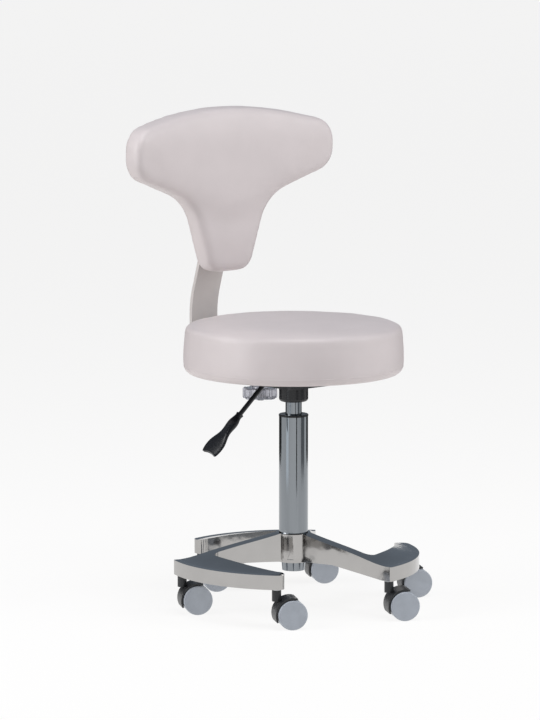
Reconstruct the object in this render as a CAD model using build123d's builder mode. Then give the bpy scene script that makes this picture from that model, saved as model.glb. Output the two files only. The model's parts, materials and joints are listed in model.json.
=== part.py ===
from build123d import *
import math
import os

# Dentist's stool: round seat on a gas column, T-shaped backrest, three-armed base on six casters.
# Units are millimetres.  The origin is on the column's axis at floor level, +Z is up, the sitter
# faces -Y and the backrest stands on the +Y side.

os.makedirs("parts", exist_ok=True)

# ---------------------------------------------------------------- driving dimensions

RUN = 0.03                       # radial clearance of a running fit
SEAT_FIT = 0.02                  # radial clearance of pieces held in one another

# casters
WHEEL_R = 25.0
WHEEL_WIDTH = 17.0
WHEEL_GAP = 9.0                  # space between the twin wheels
TRAIL = 24.0                     # wheel axis behind the swivel axis
TRAIL_ANGLE = -29.0              # direction in which all the casters trail
CASTER_RING_R = 204.0
CASTER_COUNT = 6
AXLE_R = 3.0
HOUSING_TOP = 65.6
HOUSING_STEM_R = 7.8
STEM_R = 5.5
STEM_PIN_R = 4.0
BUSH_R = 7.0

# base casting
ARM_COUNT = 3
ELBOW_ANGLE = 41.0               # first arm's direction; its first caster stands there
HOOK_SPAN = 360.0 / CASTER_COUNT
ARM_HALF_WIDTH = 11.0
ARM_FLOOR = 67.5                 # underside at the casters
HUB_BOTTOM = 77.5
HUB_TOP = 128.0
HUB_R = 30.0
RIM_R = 216.0                    # outer edge of the hooks
TIP_R = 13.0
TIP_RING_R = RIM_R - TIP_R

# column
TUBE_R = 25.0
TUBE_WALL = 2.0
TUBE_TOP = 328.5
TUBE_END = 62.0
TUBE_END_R = 19.5
BUSH_COLLAR = 3.5
BUSH_LENGTH = 62.0
ROD_R = 5.0
ROD_END = 63.5
ROD_TOP = 250.0
PLATE_BOTTOM = 68.0
PLATE_THICK = 3.0
RACE_THICK = 1.0
RACE_R = 13.0
BALL_R = 1.48
BALL_SPACE = 3.0
BALL_COUNT = 14
BUFFER_HEIGHT = 10.0
PISTON_HEIGHT = 14.0

# gas cylinder and the socket it sits in
CYL_R = 14.0
CYL_BORE_R = 11.8
CYL_BOTTOM = 105.0
CYL_TOP = 386.0
TAPER_START = 357.0
TAPER_DROP = 0.6                 # radius lost from the start of the taper to the cylinder's top
GUIDE_HEIGHT = 18.0
PIN_R = 2.5
PIN_BOTTOM = 378.0
PIN_TOP = 390.95

# seat
SEAT_R = 187.0
SEAT_BOTTOM = 403.0
SEAT_EDGE_TOP = 488.0
SEAT_SHOULDER_R = 140.0          # where the top turns from its slope to the crown
SEAT_CROWN = 494.0
SEAT_FLAT_R = 60.0
BOARD_R = 175.0
BOARD_THICK = 12.0
DUST_R = 168.0
DUST_THICK = 1.0

# seat plate, lever and bar guide
PLATE = 3.0
PAN_X = 50.0
PAN_FRONT = -50.0
PAN_BACK = 30.0
PAN_FLOOR = 382.0
FLANGE_X = 74.0
FLANGE_FRONT = -84.0
FLANGE_BACK = 150.0
SCREW_X = 63.0
SCREW_FRONT = -70.0
SCREW_BACK = 118.0
LEVER_PIVOT_X = -28.0
LEVER_Z = 395.0
LEVER_R = 4.0
LEVER_SLOPE = 41.0
LEVER_BEND_X = -60.0
LEVER_REACH = 82.0               # straight rod beyond the bend

# back bar
BAR_WIDTH = 58.0
BAR_THICK = 6.5
BAR_Z = 396.65
BAR_INNER = 64.0
BAR_LOW_Y = 240.0
BAR_HIGH_Y = 213.0
BAR_TOP = 812.0
GUIDE_GAP = 0.1
KNOB_Y = 88.0

# backrest pad
PAD_Y = 182.0
PAD_THICK = 40.6
PAD_CURVE_R = 1240.0
PAD_BOTTOM = 562.0
PAD_TOP = 847.0
SHELL_THICK = 2.0
BACK_BOARD_THICK = 10.0
SLEEVE_BOTTOM = 690.0
SLEEVE_TOP = 770.0


def polar(radius, angle):
    """A plan point given by its distance from the column and its direction in degrees."""
    return (radius * math.cos(math.radians(angle)), radius * math.sin(math.radians(angle)))


def save(piece, name):
    """Label a finished piece and write it."""
    piece.part.label = name
    export_step(piece.part, f"parts/{name}.step")


# ---------------------------------------------------------------- base

def arm_outline():
    """Plan of one arm along +X: a narrow spoke that turns at its elbow into a hook."""
    corner_x = math.sqrt(RIM_R**2 - 10.0**2)
    tip_outer = polar(RIM_R, HOOK_SPAN)
    tip_end = (polar(TIP_RING_R, HOOK_SPAN)[0] - TIP_R * math.sin(math.radians(HOOK_SPAN)),
               polar(TIP_RING_R, HOOK_SPAN)[1] + TIP_R * math.cos(math.radians(HOOK_SPAN)))
    tip_inner = polar(RIM_R - 2 * TIP_R, HOOK_SPAN)
    inner_corner = (156.0, ARM_HALF_WIDTH + 2.0)
    with BuildSketch() as outline:
        with BuildLine():
            Line((15, ARM_HALF_WIDTH), (15, -ARM_HALF_WIDTH))
            Line((15, -ARM_HALF_WIDTH), (corner_x, -10.0))
            ThreePointArc((corner_x, -10.0), polar(RIM_R, HOOK_SPAN / 2), tip_outer)
            ThreePointArc(tip_outer, tip_end, tip_inner)
            ThreePointArc(tip_inner, polar(161.5, HOOK_SPAN / 2), inner_corner)
            Line(inner_corner, (15, ARM_HALF_WIDTH))
        make_face()
        elbow = outline.vertices().group_by(Axis.X)[-1].sort_by(Axis.Y)[0]
        fillet(elbow, radius=3.0)
        notch = outline.vertices().sort_by_distance((inner_corner[0], inner_corner[1], 0))[0]
        fillet(notch, radius=14.0)
    return outline.sketch


with BuildPart() as base_casting:
    # the three arms in plan, tall enough for the side profile to cut
    with BuildSketch(Plane.XY.offset(ARM_FLOOR - 5)):
        with PolarLocations(0, ARM_COUNT, start_angle=ELBOW_ANGLE):
            add(arm_outline())
    extrude(amount=HUB_TOP - ARM_FLOOR + 10)
    # the side profile: top falls in a hollow curve, underside rises to the hub
    with BuildSketch(Plane.XZ):
        with BuildLine():
            Line((0, HUB_BOTTOM), (60, HUB_BOTTOM + 3))
            Line((60, HUB_BOTTOM + 3), (92, HUB_BOTTOM + 4))
            Line((92, HUB_BOTTOM + 4), (196, ARM_FLOOR))
            Line((196, ARM_FLOOR), (RIM_R + 6, ARM_FLOOR))
            Line((RIM_R + 6, ARM_FLOOR), (RIM_R + 6, 92.0))
            Line((RIM_R + 6, 92.0), (204, 92.0))
            Spline((204, 92.0), (155, 101.5), (97, 114.0), (HUB_R, HUB_TOP),
                   tangents=[(-1, 0.08), (-1, 0.25)])
            Line((HUB_R, HUB_TOP), (0, HUB_TOP))
            Line((0, HUB_TOP), (0, HUB_BOTTOM))
        make_face()
    revolve(axis=Axis.Z, mode=Mode.INTERSECT)
    # the hub, with its tapered bore for the column
    with BuildSketch(Plane.XZ):
        with BuildLine():
            Polyline((0, HUB_BOTTOM), (HUB_R - 3, HUB_BOTTOM), (HUB_R, HUB_BOTTOM + 8), (HUB_R, HUB_TOP - 1),
                     (HUB_R - 1, HUB_TOP), (0, HUB_TOP), close=True)
        make_face()
    revolve(axis=Axis.Z)
    # a triangular relief in each side of the hub, between two arms
    for index in range(ARM_COUNT):
        side = ELBOW_ANGLE + 60 + index * 120
        face = Plane(origin=(*polar(HUB_R + 1, side), 0), x_dir=(*polar(1, side + 90), 0),
                     z_dir=(*polar(1, side), 0))
        with BuildSketch(face):
            with BuildLine():
                Polyline((-7, HUB_BOTTOM + 6), (4, HUB_BOTTOM + 6), (4, HUB_BOTTOM + 34), close=True)
            make_face()
        extrude(amount=-4.0, mode=Mode.SUBTRACT)
    with BuildSketch(Plane.XZ):
        with BuildLine():
            Polyline((0, TUBE_END - 1), (TUBE_END_R + SEAT_FIT, TUBE_END - 1),
                     (TUBE_END_R + SEAT_FIT, TUBE_END), (TUBE_R + SEAT_FIT, HUB_TOP - 2),
                     (TUBE_R + SEAT_FIT, HUB_TOP + 1), (0, HUB_TOP + 1), close=True)
        make_face()
    revolve(axis=Axis.Z, mode=Mode.SUBTRACT)
    # blind sockets for the casters' bushes
    with Locations((0, 0, ARM_FLOOR)):
        with PolarLocations(CASTER_RING_R, CASTER_COUNT, start_angle=ELBOW_ANGLE):
            Cylinder(BUSH_R + SEAT_FIT, 21.0, align=(Align.CENTER, Align.CENTER, Align.MIN),
                     mode=Mode.SUBTRACT)
save(base_casting, "base_casting")


with BuildPart() as column_tube:
    with BuildSketch(Plane.XZ):
        with BuildLine():
            Polyline((TUBE_END_R - TUBE_WALL, TUBE_END), (TUBE_END_R, TUBE_END), (TUBE_R, HUB_TOP - 2),
                     (TUBE_R, TUBE_TOP), (TUBE_R - TUBE_WALL, TUBE_TOP), (TUBE_R - TUBE_WALL, HUB_TOP),
                     (TUBE_END_R - TUBE_WALL, PLATE_BOTTOM + 24), close=True)
        make_face()
    revolve(axis=Axis.Z)
save(column_tube, "column_tube")


with BuildPart() as column_bush:
    with BuildSketch(Plane.XZ):
        with BuildLine():
            inner = CYL_R + RUN
            outer = TUBE_R - TUBE_WALL - SEAT_FIT
            Polyline((inner, TUBE_TOP - BUSH_LENGTH), (outer, TUBE_TOP - BUSH_LENGTH), (outer, TUBE_TOP),
                     (TUBE_R + 0.4, TUBE_TOP), (TUBE_R + 0.4, TUBE_TOP + BUSH_COLLAR - 0.8),
                     (TUBE_R - 0.4, TUBE_TOP + BUSH_COLLAR), (inner + 0.6, TUBE_TOP + BUSH_COLLAR),
                     (inner, TUBE_TOP + BUSH_COLLAR - 0.6), close=True)
        make_face()
    revolve(axis=Axis.Z)
save(column_bush, "column_bush")


def ring(outer, inner, height):
    """Sketch-and-extrude body of a flat ring, made at the current location of a BuildPart."""
    Cylinder(outer, height, align=(Align.CENTER, Align.CENTER, Align.MIN))
    Cylinder(inner, height, align=(Align.CENTER, Align.CENTER, Align.MIN), mode=Mode.SUBTRACT)


RACE_LOW_Z = PLATE_BOTTOM + PLATE_THICK
RACE_HIGH_Z = RACE_LOW_Z + RACE_THICK + BALL_SPACE
BUFFER_Z = RACE_HIGH_Z + RACE_THICK

with BuildPart() as column_end_plate:
    with Locations((0, 0, PLATE_BOTTOM)):
        ring(TUBE_END_R - TUBE_WALL - SEAT_FIT, ROD_R + RUN, PLATE_THICK)
save(column_end_plate, "column_end_plate")

with BuildPart() as bearing_race_lower:
    with Locations((0, 0, RACE_LOW_Z)):
        ring(RACE_R, ROD_R + 0.1, RACE_THICK)
save(bearing_race_lower, "bearing_race_lower")

with BuildPart() as bearing_balls:
    with Locations((0, 0, RACE_LOW_Z + RACE_THICK + BALL_SPACE / 2)):
        with PolarLocations(9.5, BALL_COUNT):
            Sphere(BALL_R)
save(bearing_balls, "bearing_balls")

with BuildPart() as bearing_race_upper:
    with Locations((0, 0, RACE_HIGH_Z)):
        ring(RACE_R, ROD_R + SEAT_FIT, RACE_THICK)
save(bearing_race_upper, "bearing_race_upper")

with BuildPart() as lift_buffer:
    with Locations((0, 0, BUFFER_Z)):
        ring(11.0, ROD_R + SEAT_FIT, BUFFER_HEIGHT)
    fillet(lift_buffer.edges().filter_by(GeomType.CIRCLE).group_by(Axis.Z)[-1].sort_by(SortBy.RADIUS)[-1],
           radius=1.5)
save(lift_buffer, "lift_buffer")

with BuildPart() as rod_clip:
    with Locations((0, 0, PLATE_BOTTOM - 2.2)):
        ring(9.0, ROD_R - 1 + SEAT_FIT, 1.2)
        with Locations((6.0, 0, 0)):
            Box(8.0, 5.0, 1.2, align=(Align.CENTER, Align.CENTER, Align.MIN), mode=Mode.SUBTRACT)
save(rod_clip, "rod_clip")

with BuildPart() as piston_rod:
    with BuildSketch(Plane.XZ):
        with BuildLine():
            groove = PLATE_BOTTOM - 2.3
            Polyline((0, ROD_END), (ROD_R - 0.8, ROD_END), (ROD_R, ROD_END + 0.8), (ROD_R, groove),
                     (ROD_R - 1, groove), (ROD_R - 1, groove + 1.4), (ROD_R, groove + 1.4),
                     (ROD_R, ROD_TOP - PISTON_HEIGHT), (ROD_R - 1.5, ROD_TOP - PISTON_HEIGHT),
                     (ROD_R - 1.5, ROD_TOP + 1), (0, ROD_TOP + 1), close=True)
        make_face()
    revolve(axis=Axis.Z)
save(piston_rod, "piston_rod")

with BuildPart() as piston_head:
    with Locations((0, 0, ROD_TOP - PISTON_HEIGHT)):
        ring(CYL_BORE_R - RUN, ROD_R - 1.5 + SEAT_FIT, PISTON_HEIGHT)
        with Locations((0, 0, 5.5)):
            Cylinder(CYL_BORE_R, 3.0, align=(Align.CENTER, Align.CENTER, Align.MIN), mode=Mode.SUBTRACT)
            ring(CYL_BORE_R - 2.0, ROD_R - 1.5 + SEAT_FIT, 3.0)
save(piston_head, "piston_head")

with BuildPart() as piston_seal:
    with Locations((0, 0, ROD_TOP - PISTON_HEIGHT + 5.55)):
        ring(CYL_BORE_R - 0.02, CYL_BORE_R - 2.0 + SEAT_FIT, 2.9)
save(piston_seal, "piston_seal")


# ---------------------------------------------------------------- gas cylinder and seat carrier

def taper_radius(height):
    """Radius of the cylinder's tapered top at a height."""
    return CYL_R - TAPER_DROP * (height - TAPER_START) / (CYL_TOP - TAPER_START)


with BuildPart() as gas_cylinder:
    with BuildSketch(Plane.XZ):
        with BuildLine():
            cap = CYL_TOP - 12.0
            Polyline((CYL_BORE_R, CYL_BOTTOM), (CYL_R - 1, CYL_BOTTOM), (CYL_R, CYL_BOTTOM + 1),
                     (CYL_R, TAPER_START), (taper_radius(CYL_TOP), CYL_TOP), (PIN_R + RUN, CYL_TOP),
                     (PIN_R + RUN, cap), (CYL_BORE_R, cap), close=True)
        make_face()
    revolve(axis=Axis.Z)
save(gas_cylinder, "gas_cylinder")

with BuildPart() as cylinder_rod_guide:
    with Locations((0, 0, CYL_BOTTOM)):
        ring(CYL_BORE_R - SEAT_FIT, ROD_R + RUN, GUIDE_HEIGHT)
save(cylinder_rod_guide, "cylinder_rod_guide")

with BuildPart() as release_pin:
    with Locations((0, 0, PIN_BOTTOM)):
        Cylinder(PIN_R, PIN_TOP - PIN_BOTTOM, align=(Align.CENTER, Align.CENTER, Align.MIN))
    fillet(release_pin.edges().group_by(Axis.Z)[-1], radius=2.0)
save(release_pin, "release_pin")

SOCKET_R = 20.0
SOCKET_TOP = 388.0

with BuildPart() as taper_socket:
    with BuildSketch(Plane.XZ):
        with BuildLine():
            Polyline((taper_radius(TAPER_START) + SEAT_FIT, TAPER_START), (SOCKET_R, TAPER_START),
                     (SOCKET_R, SOCKET_TOP), (taper_radius(SOCKET_TOP) + SEAT_FIT, SOCKET_TOP), close=True)
        make_face()
    revolve(axis=Axis.Z)
save(taper_socket, "taper_socket")

COVER_R = 25.0
COVER_BOTTOM = 354.0

with BuildPart() as socket_cover:
    with BuildSketch(Plane.XZ) as cover_profile:
        with BuildLine():
            cover_inner = COVER_R - 2.0
            cover_floor = COVER_BOTTOM + 2.5
            Polyline((CYL_R + 0.3, COVER_BOTTOM), (COVER_R, COVER_BOTTOM), (COVER_R, PAN_FLOOR),
                     (cover_inner, PAN_FLOOR), (cover_inner, cover_floor), (CYL_R + 0.3, cover_floor),
                     close=True)
        make_face()
        fillet(cover_profile.vertices().sort_by_distance((COVER_R, COVER_BOTTOM, 0))[0], radius=5.0)
        fillet(cover_profile.vertices().sort_by_distance((cover_inner, cover_floor, 0))[0], radius=3.5)
    revolve(axis=Axis.Z)
    # three ribs grip the socket
    with BuildSketch(Plane.XY.offset(COVER_BOTTOM + 5)):
        with PolarLocations((SOCKET_R + COVER_R - 1) / 2 + SEAT_FIT / 2, 3, start_angle=30):
            Rectangle(COVER_R - 1 - SOCKET_R - SEAT_FIT, 2.0)
    extrude(amount=PAN_FLOOR - COVER_BOTTOM - 6)
save(socket_cover, "socket_cover")


SCREW_SPOTS = [(-SCREW_X, SCREW_FRONT), (SCREW_X, SCREW_FRONT), (-SCREW_X, SCREW_BACK), (SCREW_X, SCREW_BACK)]
M6_R = 3.0
M6_HOLE_R = 3.3
FLANGE_BOTTOM = SEAT_BOTTOM - PLATE

with BuildPart() as seat_plate:
    # flat flange that carries the seat board
    with BuildSketch(Plane.XY.offset(FLANGE_BOTTOM)):
        with Locations((0, (FLANGE_FRONT + FLANGE_BACK) / 2)):
            RectangleRounded(2 * FLANGE_X, FLANGE_BACK - FLANGE_FRONT, 12)
    extrude(amount=PLATE)
    # sunk pan for the lever
    pan_y = (PAN_FRONT + PAN_BACK) / 2
    with BuildSketch(Plane.XY.offset(PAN_FLOOR)):
        with Locations((0, pan_y)):
            RectangleRounded(2 * PAN_X, PAN_BACK - PAN_FRONT, 8)
    extrude(amount=FLANGE_BOTTOM - PAN_FLOOR)
    with BuildSketch(Plane.XY.offset(PAN_FLOOR + PLATE)):
        with Locations((0, pan_y)):
            RectangleRounded(2 * (PAN_X - PLATE), PAN_BACK - PAN_FRONT - 2 * PLATE, 5)
    extrude(amount=SEAT_BOTTOM - PAN_FLOOR - PLATE, mode=Mode.SUBTRACT)
    # ears of the lever's fulcrum, with the hole for its pivot pin
    ear_z = PAN_FLOOR + PLATE
    for ear_y in (-8.0, 8.0):
        with Locations((LEVER_PIVOT_X, ear_y, ear_z)):
            Box(12, 3, LEVER_Z + 5 - ear_z, align=(Align.CENTER, Align.CENTER, Align.MIN))
    with Locations(Location((LEVER_PIVOT_X, 0, LEVER_Z), (90, 0, 0))):
        Cylinder(PIN_R + SEAT_FIT, 24, mode=Mode.SUBTRACT)
    # opening for the socket, slot for the lever, screw holes
    with Locations((0, 0, PAN_FLOOR - 1)):
        Cylinder(SOCKET_R + SEAT_FIT, PLATE + 2, align=(Align.CENTER, Align.CENTER, Align.MIN),
                 mode=Mode.SUBTRACT)
    with Locations((-PAN_X - 10, 0, LEVER_Z - 7)):
        Box(36, 13, 30, align=(Align.CENTER, Align.CENTER, Align.MIN), mode=Mode.SUBTRACT)
    with Locations((0, 0, FLANGE_BOTTOM)):
        with Locations(*[(x, y, 0) for x, y in SCREW_SPOTS]):
            Cylinder(M6_HOLE_R, PLATE, align=(Align.CENTER, Align.CENTER, Align.MIN), mode=Mode.SUBTRACT)
save(seat_plate, "seat_plate")

with BuildPart() as lever_pivot_pin:
    with Locations(Location((LEVER_PIVOT_X, 0, LEVER_Z), (90, 0, 0))):
        Cylinder(PIN_R, 21)
save(lever_pivot_pin, "lever_pivot_pin")


GUIDE_FRONT = 76.0
GUIDE_REAR = 146.0
GUIDE_WALL = 3.0
BOSS_R = 9.0
BOSS_HEIGHT = 9.0
STUD_R = 4.0
CLAMP_R = 6.0
CLAMP_DEPTH = 5.3                # depth of the clamp pad's pocket below the bar
guide_half = BAR_WIDTH / 2 + GUIDE_GAP
bar_bottom = BAR_Z - BAR_THICK / 2
guide_floor = bar_bottom - GUIDE_GAP

with BuildPart() as bar_guide:
    guide_y = (GUIDE_FRONT + GUIDE_REAR) / 2
    with Locations((0, guide_y, guide_floor - GUIDE_WALL)):
        Box(2 * (guide_half + GUIDE_WALL), GUIDE_REAR - GUIDE_FRONT, FLANGE_BOTTOM - guide_floor + GUIDE_WALL,
            align=(Align.CENTER, Align.CENTER, Align.MIN))
    with Locations((0, guide_y, guide_floor)):
        Box(2 * guide_half, GUIDE_REAR - GUIDE_FRONT, FLANGE_BOTTOM - guide_floor,
            align=(Align.CENTER, Align.CENTER, Align.MIN), mode=Mode.SUBTRACT)
    with Locations((0, KNOB_Y, guide_floor - GUIDE_WALL - BOSS_HEIGHT)):
        Cylinder(BOSS_R, BOSS_HEIGHT, align=(Align.CENTER, Align.CENTER, Align.MIN))
        Cylinder(STUD_R + RUN, BOSS_HEIGHT + GUIDE_WALL, align=(Align.CENTER, Align.CENTER, Align.MIN),
                 mode=Mode.SUBTRACT)
    with Locations((0, KNOB_Y, guide_floor)):
        Cylinder(CLAMP_R + RUN, CLAMP_DEPTH, align=(Align.CENTER, Align.CENTER, Align.MAX),
                 mode=Mode.SUBTRACT)
save(bar_guide, "bar_guide")


# ---------------------------------------------------------------- seat

with BuildPart() as dust_cover:
    with BuildSketch(Plane.XY.offset(SEAT_BOTTOM)):
        Circle(DUST_R)
        with Locations(*SCREW_SPOTS):
            Circle(M6_HOLE_R, mode=Mode.SUBTRACT)
    extrude(amount=DUST_THICK)
save(dust_cover, "dust_cover")

NUT_BARREL_R = 4.5
NUT_FLANGE_R = 11.0
NUT_FLANGE = 1.5
board_top = SEAT_BOTTOM + DUST_THICK + BOARD_THICK

with BuildPart() as seat_board:
    with Locations((0, 0, SEAT_BOTTOM + DUST_THICK)):
        Cylinder(BOARD_R, BOARD_THICK, align=(Align.CENTER, Align.CENTER, Align.MIN))
    with Locations((0, 0, board_top)):
        with Locations(*[(x, y, 0) for x, y in SCREW_SPOTS]):
            CounterBoreHole(NUT_BARREL_R + SEAT_FIT, NUT_FLANGE_R + SEAT_FIT, NUT_FLANGE)
save(seat_board, "seat_board")

with BuildPart() as seat_tee_nuts:
    for x, y in SCREW_SPOTS:
        with Locations((x, y, board_top - NUT_FLANGE)):
            Cylinder(NUT_FLANGE_R, NUT_FLANGE, align=(Align.CENTER, Align.CENTER, Align.MIN))
            Cylinder(NUT_BARREL_R, 8.0, align=(Align.CENTER, Align.CENTER, Align.MAX))
        with Locations((x, y, board_top)):
            Cylinder(M6_R + SEAT_FIT, 20.0, mode=Mode.SUBTRACT)
save(seat_tee_nuts, "seat_tee_nuts")

SCREW_HEAD = 3.2

with BuildPart() as seat_screws:
    for x, y in SCREW_SPOTS:
        with Locations((x, y, FLANGE_BOTTOM)):
            Cylinder(5.25, SCREW_HEAD, align=(Align.CENTER, Align.CENTER, Align.MAX))
            Cylinder(M6_R, 14.0, align=(Align.CENTER, Align.CENTER, Align.MIN))
    # hexagon sockets in the heads
    with BuildSketch(Plane.XY.offset(FLANGE_BOTTOM - SCREW_HEAD)):
        with Locations(*SCREW_SPOTS):
            RegularPolygon(2.3, 6)
    extrude(amount=1.8, mode=Mode.SUBTRACT)
save(seat_screws, "seat_screws")

with BuildPart() as seat_cushion:
    with BuildSketch(Plane.XZ) as cushion_profile:
        with BuildLine():
            lip_z = SEAT_BOTTOM + DUST_THICK
            Polyline((0, board_top), (BOARD_R + SEAT_FIT, board_top), (BOARD_R + SEAT_FIT, lip_z),
                     (DUST_R + SEAT_FIT, lip_z), (DUST_R + SEAT_FIT, SEAT_BOTTOM), (SEAT_R, SEAT_BOTTOM),
                     (SEAT_R, SEAT_EDGE_TOP), (SEAT_SHOULDER_R, SEAT_CROWN - 2.0), (SEAT_FLAT_R, SEAT_CROWN),
                     (0, SEAT_CROWN), close=True)
        make_face()
        fillet(cushion_profile.vertices().sort_by_distance((SEAT_R, SEAT_EDGE_TOP, 0))[0], radius=10.0)
        fillet(cushion_profile.vertices().sort_by_distance((SEAT_R, SEAT_BOTTOM, 0))[0], radius=15.0)
    revolve(axis=Axis.Z)
save(seat_cushion, "seat_cushion")


# ---------------------------------------------------------------- lever

def lever_point(distance):
    """A point on the sloping part of the lever's rod, measured from its bend."""
    slope = math.radians(LEVER_SLOPE)
    return (LEVER_BEND_X - distance * math.cos(slope), 0, LEVER_Z - distance * math.sin(slope))


def lever_plane(distance, twist=0.0):
    """A plane square to the lever's sloping rod, turned about the rod by a twist."""
    slope = math.radians(LEVER_SLOPE)
    along = Vector(-math.cos(slope), 0, -math.sin(slope))
    across = Vector(0, 1, 0).rotate(Axis((0, 0, 0), along), twist)
    return Plane(origin=lever_point(distance), x_dir=across, z_dir=along)


with BuildPart() as lever_rod:
    with BuildLine() as rod_path:
        FilletPolyline((6, 0, LEVER_Z), (LEVER_BEND_X, 0, LEVER_Z), lever_point(LEVER_REACH + 20), radius=14)
    with BuildSketch(Plane(origin=(6, 0, LEVER_Z), z_dir=(-1, 0, 0))):
        Circle(LEVER_R)
    sweep(path=rod_path.line)
    with Locations(Location((LEVER_PIVOT_X, 0, LEVER_Z), (90, 0, 0))):
        Cylinder(5.5, 12.4)
        Cylinder(PIN_R + RUN, 14, mode=Mode.SUBTRACT)
save(lever_rod, "lever_rod")

# the paddle's sections: distance from the rod's end, half width, half thickness, twist
PADDLE_SECTIONS = [
    (-20.0, 7.0, 6.5, 0.0),
    (-4.0, 9.0, 7.6, -4.0),
    (14.0, 9.0, 6.6, -12.0),
    (28.0, 10.5, 5.2, -18.0),
    (44.0, 15.0, 4.3, -24.0),
    (57.0, 15.8, 3.6, -26.0),
    (66.0, 14.8, 3.2, -26.0),
    (70.5, 13.4, 3.0, -26.0),
]
PADDLE_START = LEVER_REACH + 18

with BuildPart() as lever_paddle:
    for distance, half_width, half_thickness, twist in PADDLE_SECTIONS:
        with BuildSketch(lever_plane(PADDLE_START + distance, twist)):
            Ellipse(half_width, half_thickness)
    loft()
    # the tip is hollowed between its two corners
    with Locations(lever_plane(PADDLE_START + 88.0, -26.0).location * Location((0, 0, 0), (90, 0, 0))):
        Cylinder(20.0, 40.0, mode=Mode.SUBTRACT)
    with BuildLine() as socket_path:
        Line(lever_point(LEVER_REACH - 8), lever_point(LEVER_REACH + 20))
    with BuildSketch(lever_plane(LEVER_REACH - 8)):
        Circle(LEVER_R + SEAT_FIT)
    sweep(path=socket_path.line, mode=Mode.SUBTRACT)
save(lever_paddle, "lever_paddle")


# ---------------------------------------------------------------- clamping knobs

def lobed_knob(radius, scallop, lobes):
    """Outline of a hand knob: a disc with scallops that leave rounded lobes."""
    with BuildSketch() as outline:
        Circle(radius)
        with PolarLocations(radius + scallop * 0.35, lobes):
            Circle(scallop, mode=Mode.SUBTRACT)
        fillet(outline.vertices(), radius=scallop * 0.3)
    return outline.sketch


KNOB_R = 30.0
KNOB_SCALLOP = 8.5
KNOB_LOBES = 7
KNOB_LOW = 349.0
KNOB_HEIGHT = 19.0
KNOB_NECK = 10.0
clamp_bottom = guide_floor - 2.4

with BuildPart() as depth_clamp_pad:
    with Locations((0, KNOB_Y, clamp_bottom)):
        Cylinder(CLAMP_R, bar_bottom - 0.05 - clamp_bottom, align=(Align.CENTER, Align.CENTER, Align.MIN))
save(depth_clamp_pad, "depth_clamp_pad")

with BuildPart() as depth_stud:
    with Locations((0, KNOB_Y, KNOB_LOW + 3)):
        Cylinder(STUD_R, clamp_bottom - KNOB_LOW - 3, align=(Align.CENTER, Align.CENTER, Align.MIN))
save(depth_stud, "depth_stud")

depth_knob_outline = lobed_knob(KNOB_R, KNOB_SCALLOP, KNOB_LOBES)

with BuildPart() as depth_knob:
    with BuildSketch(Plane.XY.offset(KNOB_LOW)):
        with Locations((0, KNOB_Y)):
            add(depth_knob_outline)
    extrude(amount=KNOB_HEIGHT)
    fillet(depth_knob.edges().filter_by(Plane.XY), radius=2.5)
    with Locations((0, KNOB_Y, KNOB_LOW + KNOB_HEIGHT)):
        Cylinder(14.0, KNOB_NECK, align=(Align.CENTER, Align.CENTER, Align.MIN))
    with Locations((0, KNOB_Y, KNOB_LOW + 3)):
        Cylinder(STUD_R + SEAT_FIT, 40, align=(Align.CENTER, Align.CENTER, Align.MIN), mode=Mode.SUBTRACT)
save(depth_knob, "depth_knob")


# ---------------------------------------------------------------- back bar

with BuildPart() as back_bar:
    with BuildSketch(Plane.YZ.offset(-BAR_WIDTH / 2)):
        with BuildLine() as bar_path:
            FilletPolyline((BAR_INNER, BAR_Z), (BAR_LOW_Y, BAR_Z), (BAR_LOW_Y, 505), (BAR_HIGH_Y, 592),
                           (BAR_HIGH_Y, BAR_TOP), radius=[34, 150, 150])
        trace(bar_path.line, line_width=BAR_THICK)
    extrude(amount=BAR_WIDTH)
save(back_bar, "back_bar")

with BuildPart() as bar_end_cap:
    with Locations((0, BAR_HIGH_Y, BAR_TOP - 10)):
        Box(BAR_WIDTH + 3, BAR_THICK + 3, 12, align=(Align.CENTER, Align.CENTER, Align.MIN))
        fillet(bar_end_cap.edges().group_by(Axis.Z)[-1], radius=1.4)
        Box(BAR_WIDTH + 2 * SEAT_FIT, BAR_THICK + 2 * SEAT_FIT, 10,
            align=(Align.CENTER, Align.CENTER, Align.MIN), mode=Mode.SUBTRACT)
save(bar_end_cap, "bar_end_cap")


# ---------------------------------------------------------------- backrest

# the backrest's front view: where the crown of its top ends, then X, Z and rounding of each corner
CROWN_X = 172.0
CROWN_Z = 826.0
BACK_CORNERS = [
    (223.0, 812.6, 42.0),
    (223.0, 736.0, 42.0),
    (84.0, 685.0, 80.0),
    (44.7, PAD_BOTTOM, 30.0),
]


def back_outline(inset):
    """Front view of the T-shaped pad: broad wings over a tapering stem, drawn in X and Z."""
    right = [(x, z) for x, z, _ in BACK_CORNERS]
    left = [(-x, z) for x, z in reversed(right)]
    with BuildSketch() as outline:
        with BuildLine():
            ThreePointArc((-CROWN_X, CROWN_Z), (0, PAD_TOP), (CROWN_X, CROWN_Z))
            Polyline((CROWN_X, CROWN_Z), *right, *left, (-CROWN_X, CROWN_Z))
        make_face()
        for x, z, radius in BACK_CORNERS:
            for side in (1, -1):
                fillet(outline.vertices().sort_by_distance((side * x, z, 0))[0], radius=radius)
        if inset:
            offset(amount=-inset, mode=Mode.REPLACE)
    return outline.sketch


PAD_CENTRE_Y = PAD_Y - PAD_CURVE_R
PAD_FRONT = PAD_Y - PAD_THICK / 2
PAD_REAR = PAD_Y + PAD_THICK / 2
SHELL_FRONT = PAD_REAR - SHELL_THICK
BACK_BOARD_FRONT = SHELL_FRONT - BACK_BOARD_THICK
BOARD_INSET = 12.0
SHELL_INSET = 9.0
PAD_ROUND = 11.0
PAD_REAR_ROUND = 5.0
FRONT_VIEW = Plane(origin=(0, 0, 0), x_dir=(1, 0, 0), z_dir=(0, -1, 0))


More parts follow.
